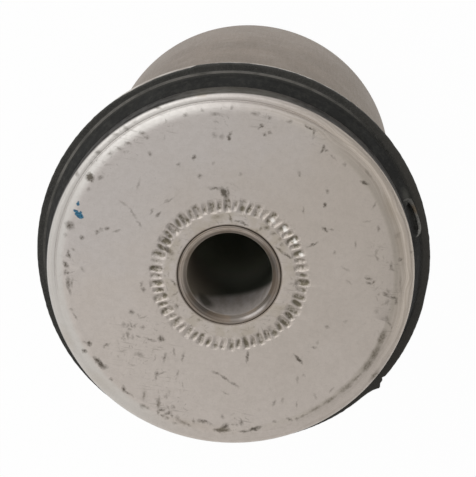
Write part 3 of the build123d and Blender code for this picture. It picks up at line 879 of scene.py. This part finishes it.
def sleeve_steel():
    """Warm grey phosphated tube with faint drawing lines, painted shade on its -X side and a painted
    highlight on the flange edge.
    """
    p = Paint("sleeve_steel")
    blotch = p.noise(p.mm, 0.11, 4, 0.6)
    base = p.mix(p.span(blotch, 0.36, 0.64), colour(0.246, 0.197, 0.155), colour(0.196, 0.155, 0.118))
    base = p.mix(p.span(p.z, 34.0, 6.0, 0.0, 0.5), base, colour(0.315, 0.267, 0.228))
    # painted shade: darker on the side away from the light (-X)
    base = p.mix(p.span(p.x, 2.0, -28.0, 0.0, 0.9), base, colour(0.166, 0.126, 0.087))
    base = p.mix(p.span(p.x, 4.0, 22.0, 0.0, 0.4), base, colour(0.185, 0.145, 0.113))
    scuffs = p.span(p.noise(p.mm, 0.2, 3, 0.55), 0.5, 0.76, 0.0, 0.2)
    base = p.mix(scuffs, base, colour(0.34, 0.305, 0.265))
    round_axis = p.math("MULTIPLY", p.angle, OUTER_R / MM)
    drawn = p.noise(p.join(p.math("MULTIPLY", round_axis, 1.6), p.math("MULTIPLY", p.z, 0.12)), 1.0, 4, 0.6)
    base = p.mix(p.span(drawn, 0.4, 0.7, 0.0, 0.12), base, colour(0.38, 0.34, 0.31))
    grain = p.noise(p.mm, 3.0, 3, 0.6)
    base = p.mix(p.span(grain, 0.5, 0.8, 0.0, 0.3), base, colour(0.16, 0.14, 0.12))
    edge = p.span(p.r, FLANGE_R / MM - 0.9, FLANGE_R / MM - 0.2)
    rear = p.span(p.z, OUTER_REAR_Z / MM + 1.0, OUTER_REAR_Z / MM + 0.4)
    base = p.mix(p.math("MULTIPLY", rear, 0.7), base, colour(0.10, 0.085, 0.07))
    # painted highlight along the flange edge
    edge_highlight = p.math("MULTIPLY", edge, p.span(p.noise(p.mm, 0.25, 3), 0.3, 0.6, 0.45, 1.0))
    base = p.mix(edge_highlight, base, colour(0.56, 0.52, 0.48))
    rough = p.span(grain, 0.3, 0.7, 0.46, 0.58)
    tilt = p.bump(grain, 0.015)
    tilt = p.bump(drawn, 0.02, tilt)
    return p.finish(base, rough, 1.0, tilt)


def moulded_rubber():
    """Matt black rubber with pale dust, a dusty ridge crest with a painted highlight, painted shade on the
    flank under the plate, and faint moulding grain.
    """
    p = Paint("rubber", RUBBER_SPECULAR)
    cloud = p.noise(p.mm, 0.16, 4, 0.6)
    base = p.mix(p.span(cloud, 0.35, 0.65), colour(0.020, 0.020, 0.018), colour(0.034, 0.033, 0.030))
    grain = p.noise(p.mm, 4.0, 3, 0.6)
    base = p.mix(p.span(grain, 0.4, 0.7, 0.0, 0.6), base, colour(0.065, 0.063, 0.058))
    dust = p.span(p.noise(p.vector("ADD", p.mm, (5, 9, 2)), 2.6, 2, 0.7), 0.62, 0.75)
    base = p.mix(p.math("MULTIPLY", dust, 0.6), base, colour(0.12, 0.115, 0.105))
    # pale ridge crest: dust with a painted highlight, strongest towards the light (+X, -Y)
    crest_dust_and_highlight = p.band(p.r, FOOT_R / MM - 0.05, FOOT_R / MM + 0.42, 0.05)
    crest_dust_and_highlight = p.math("MULTIPLY", crest_dust_and_highlight, p.band(p.z, COLLAR_Z / MM + 0.12, COLLAR_Z / MM + 0.36, 0.05))
    crest_dust_and_highlight = p.math("MULTIPLY", crest_dust_and_highlight, p.span(p.noise(p.mm, 0.2, 3), 0.3, 0.6, 0.3, 0.85))
    crest_dust_and_highlight = p.math("MULTIPLY", crest_dust_and_highlight, p.span(p.y, 12.0, -12.0, 0.25, 1.0))
    crest_dust_and_highlight = p.math("MULTIPLY", crest_dust_and_highlight, p.span(p.x, -26.0, -6.0, 0.05, 1.0))
    base = p.mix(crest_dust_and_highlight, base, colour(0.15, 0.142, 0.13))
    # paler tone on the collar towards -X
    paler_collar_side = p.math("MULTIPLY", p.span(p.r, FOOT_R / MM + 0.2, FOOT_R / MM + 0.6), p.span(p.x, -14.0, -30.0))
    base = p.mix(p.math("MULTIPLY", paler_collar_side, 0.5), base, colour(0.065, 0.06, 0.052))
    # painted shade on the cushion's flank under the plate's edge
    flank_shade = p.span(p.z, COLLAR_Z / MM + 0.2, COLLAR_Z / MM + 1.8)
    base = p.mix(p.math("MULTIPLY", flank_shade, 0.9), base, colour(0.004, 0.004, 0.0035))
    scuffs = p.span(p.noise(p.mm, 0.9, 4, 0.75), 0.42, 0.68, 0.0, 0.35)
    base = p.mix(scuffs, base, colour(0.045, 0.0445, 0.038))
    spot = p.length(p.vector("SUBTRACT", p.mm, DUST_SPOT))
    spot = p.math("MULTIPLY", p.span(spot, 2.4, 0.6), p.span(cloud, 0.3, 0.6, 0.5, 1.0))
    base = p.mix(p.math("MULTIPLY", spot, 0.7), base, colour(0.075, 0.074, 0.064))
    rough = p.span(cloud, 0.3, 0.7, 0.66, 0.8)
    tilt = p.bump(grain, 0.05)
    tilt = p.bump(p.noise(p.mm, 0.9, 3), 0.06, tilt)
    return p.finish(base, rough, 0.0, tilt)


def highlit_dusty_rubber():
    """Rubber at the pocket's lip: pale grey and brown, a painted highlight with dust and mould release, and
    painted shade at its upper end under the plate.
    """
    p = Paint("highlit_dusty_rubber", RUBBER_SPECULAR)
    cloud = p.noise(p.mm, 0.45, 3, 0.6)
    # pale grey and brown lip: painted highlight, with dust
    brown = p.band(p.y, -17.3, -15.4, 0.6)
    pale_highlight_and_dust = p.mix(brown, colour(0.25, 0.247, 0.232), colour(0.16, 0.125, 0.088))
    base = p.mix(p.span(cloud, 0.35, 0.65, 0.0, 0.4), pale_highlight_and_dust, colour(0.12, 0.11, 0.095))
    grain = p.noise(p.mm, 4.0, 3, 0.6)
    base = p.mix(p.span(grain, 0.45, 0.75, 0.0, 0.6), base, colour(0.05, 0.048, 0.044))
    # painted shade at the lip's upper end, under the plate's edge
    base = p.mix(p.span(p.y, -17.0, -18.4, 0.0, 0.7), base, colour(0.045, 0.044, 0.04))
    return p.finish(base, p.span(cloud, 0.3, 0.7, 0.65, 0.78), 0.0, p.bump(grain, 0.04))


# -------------------------------- dressing the solids
dress(make_inner_sleeve(), "inner_sleeve", turned_steel())
dress(make_end_plate(), "end_plate", plated_steel())
dress(make_outer_sleeve(), "outer_sleeve", sleeve_steel())
dress(make_rubber(), "rubber_body", moulded_rubber())
lip = make_pocket_lip()
lip.data.materials.append(highlit_dusty_rubber())
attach(lip, "root")


# -------------------------------- stage, camera and light
FLOOR_HALF = 1.5
FLOOR_PAINT = colour(0.8, 0.8, 0.8)
FLOOR_GLOW = 0.97
SKY_COLOUR = colour(1, 0.985, 0.965)
SKY_LOW = 0.23
SKY_HIGH = 0.88
SKY_BRIGHT_WAY = (0.45, 0.85, 0.25)
SOFTBOX_SIZE = 0.95
SOFTBOX_POWER = 4.5
SOFTBOX_REACH = 0.8
SOFTBOX_WAY = Vector((0.5, -0.66, 0.6)).normalized()


def make_floor():
    """Pale floor that takes the shadow and looks nearly white to the camera and to reflections."""
    corners = [(x * FLOOR_HALF, y * FLOOR_HALF, 0) for x, y in ((-1, -1), (1, -1), (1, 1), (-1, 1))]
    floor = mesh_object("floor", corners, [(0, 1, 2, 3)])
    material = bpy.data.materials.new("floor")
    material.use_nodes = True
    tree = material.node_tree
    tree.nodes.clear()
    out = tree.nodes.new("ShaderNodeOutputMaterial")
    paint = add_node(tree, "BsdfDiffuse", {"Color": FLOOR_PAINT})
    glow = add_node(tree, "Emission")
    rays = add_node(tree, "LightPath").node.outputs
    bounced = {0: rays["Is Glossy Ray"], 1: rays["Is Transmission Ray"]}
    shiny = add_node(tree, "Math", bounced, operation="MAXIMUM")
    seen = add_node(tree, "Math", {0: rays["Is Camera Ray"], 1: shiny}, operation="MAXIMUM")
    share = add_node(tree, "Math", {0: seen, 1: FLOOR_GLOW}, operation="MULTIPLY")
    mixed = add_node(tree, "MixShader", {0: share, 1: paint, 2: glow})
    feed(tree, out.inputs["Surface"], mixed)
    floor.data.materials.append(material)


def make_camera():
    """Camera of the photograph, by which seen_at places the marks."""
    data = bpy.data.cameras.new("camera")
    data.sensor_fit = "HORIZONTAL"
    data.sensor_width = SENSOR
    data.lens = LENS
    camera = bpy.data.objects.new("camera", data)
    bpy.context.scene.collection.objects.link(camera)
    turn = Matrix((CAMERA_RIGHT, CAMERA_UP, CAMERA_BACK)).transposed().to_4x4()
    camera.matrix_world = Matrix.Translation(CAMERA_SPOT) @ turn
    bpy.context.scene.camera = camera


def make_lights():
    """One key softbox, in a pale studio that is lighter behind and to one side of the object."""
    world = bpy.data.worlds.new("studio")
    world.use_nodes = True
    tree = world.node_tree
    sky = tree.nodes["Background"]
    where = add_node(tree, "TexCoord", output="Generated")
    pair = {0: where, 1: SKY_BRIGHT_WAY}
    toward = add_node(tree, "VectorMath", pair, output="Value", operation="DOT_PRODUCT")
    fade = {"Value": toward, "From Min": -1, "To Min": SKY_LOW, "To Max": SKY_HIGH}
    level = add_node(tree, "MapRange", fade)
    feed(tree, sky.inputs["Color"], SKY_COLOUR)
    feed(tree, sky.inputs["Strength"], level)
    bpy.context.scene.world = world

    lamp = bpy.data.lights.new("softbox", "AREA")
    lamp.shape = "SQUARE"
    lamp.size = SOFTBOX_SIZE
    lamp.energy = SOFTBOX_POWER
    obj = bpy.data.objects.new("softbox", lamp)
    bpy.context.scene.collection.objects.link(obj)
    obj.location = Vector((0, 0, FACE_Z)) + SOFTBOX_WAY * SOFTBOX_REACH
    obj.rotation_mode = "QUATERNION"
    obj.rotation_quaternion = SOFTBOX_WAY.to_track_quat("Z", "Y")


make_floor()
make_camera()
make_lights()
bpy.context.scene.view_settings.view_transform = "Standard"
